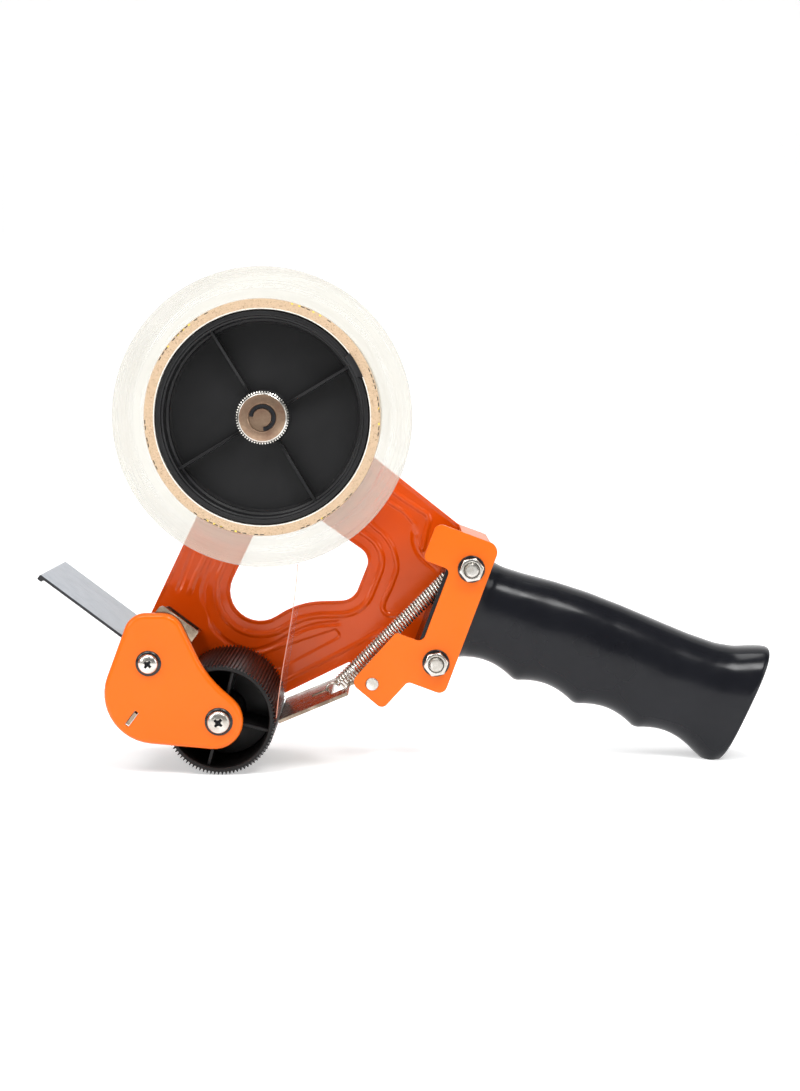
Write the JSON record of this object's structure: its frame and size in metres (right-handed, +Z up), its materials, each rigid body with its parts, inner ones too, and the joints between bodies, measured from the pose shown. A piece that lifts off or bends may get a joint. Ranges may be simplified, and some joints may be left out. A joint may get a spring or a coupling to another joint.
{
  "type": "tape dispenser",
  "caption": "Pistol-grip packing tape dispenser: pressed side frame, braked tape reel, ribbed press roller, blade, wiper flap and sprung retainer arm.",
  "frame": {"origin": "centre of the base of the whole part's bounding box: the surface under the press roller and the grip's heel", "axes": "+X from the wiper flap to the heel of the grip, +Y from the front cover to the side frame, +Z up"},
  "size_m": [0.2658, 0.0626, 0.1808],
  "materials": {
    "frame_paint": "gloss",
    "cover_paint": "gloss",
    "grip_plastic": "satin",
    "zinc": "bright zinc",
    "black_zinc": "satin",
    "roller_plastic": "satin",
    "nylon": "plain",
    "nickel": "plated",
    "blade_steel": "hardened",
    "flap_plastic": "gloss",
    "spring_wire": "drawn wire",
    "felt": "felt",
    "hub_plastic": "satin",
    "core_paper": "speckled",
    "tape_film": "wound clear film",
    "tape_sheet": "clear film"
  },
  "bodies": {
    "frame": {"side_frame": "frame_paint", "handle_bracket": "cover_paint", "handle": "grip_plastic", "handle_bolts": "zinc", "handle_washers": "black_zinc", "handle_nuts": "zinc", "front_cover": "cover_paint", "cover_screws": "zinc", "cover_washers": "black_zinc", "tie_rod": "zinc", "roller_axle": "zinc", "blade_bracket": "nickel", "cutting_blade": "blade_steel", "blade_rivets": "zinc", "flap_holder": "nickel", "flap_rivets": "zinc", "pivot_pin": "zinc", "tension_spring": "spring_wire", "spindle": "zinc", "friction_washer": "felt", "brake_spring": "spring_wire", "thrust_washer": "zinc", "e_clip": "blade_steel", "tape_strip": "tape_sheet"},
    "reel": {"tape_hub": "hub_plastic", "hub_bush": "nylon", "tape_core": "core_paper", "tape_roll": "tape_film"},
    "roller": {"press_roller": "roller_plastic", "roller_bushes": "nylon"},
    "arm": {"retainer_arm": "nickel"},
    "knob": {"tension_knob": "nickel"},
    "flap": {"wiper_flap": "flap_plastic"}
  },
  "joints": [
    {"name": "reel_spin", "type": "hinge", "parent": "frame", "child": "reel", "pos_m": [-0.05257, -0.0001, 0.1278], "axis": [0, 1, 0], "continuous": true},
    {"name": "roller_spin", "type": "hinge", "parent": "frame", "child": "roller", "pos_m": [-0.06837, -0.0001, 0.02], "axis": [0, 1, 0], "continuous": true},
    {"name": "arm_swing", "type": "hinge", "parent": "frame", "child": "arm", "pos_m": [-0.0142, -0.0001, 0.02969], "axis": [0, -1, 0], "range_deg": [0, 25], "stiffness_Nm_per_rad": 0.15, "springref_deg": -34.38, "deforming": ["tension_spring"]},
    {"name": "knob_turn", "type": "hinge", "parent": "frame", "child": "knob", "pos_m": [-0.05257, -0.0001, 0.1278], "axis": [0, -1, 0], "range_deg": [-180, 180]},
    {"name": "flap_flex", "type": "hinge", "parent": "frame", "child": "flap", "pos_m": [-0.10289, -0.0001, 0.0496], "axis": [0, 1, 0], "range_deg": [0, 25], "stiffness_Nm_per_rad": 0.25, "deforming": ["wiper_flap"]}
  ],
  "couplings": [
    {"joint": "roller_spin", "follows": "reel_spin", "ratio": 2.65}
  ]
}
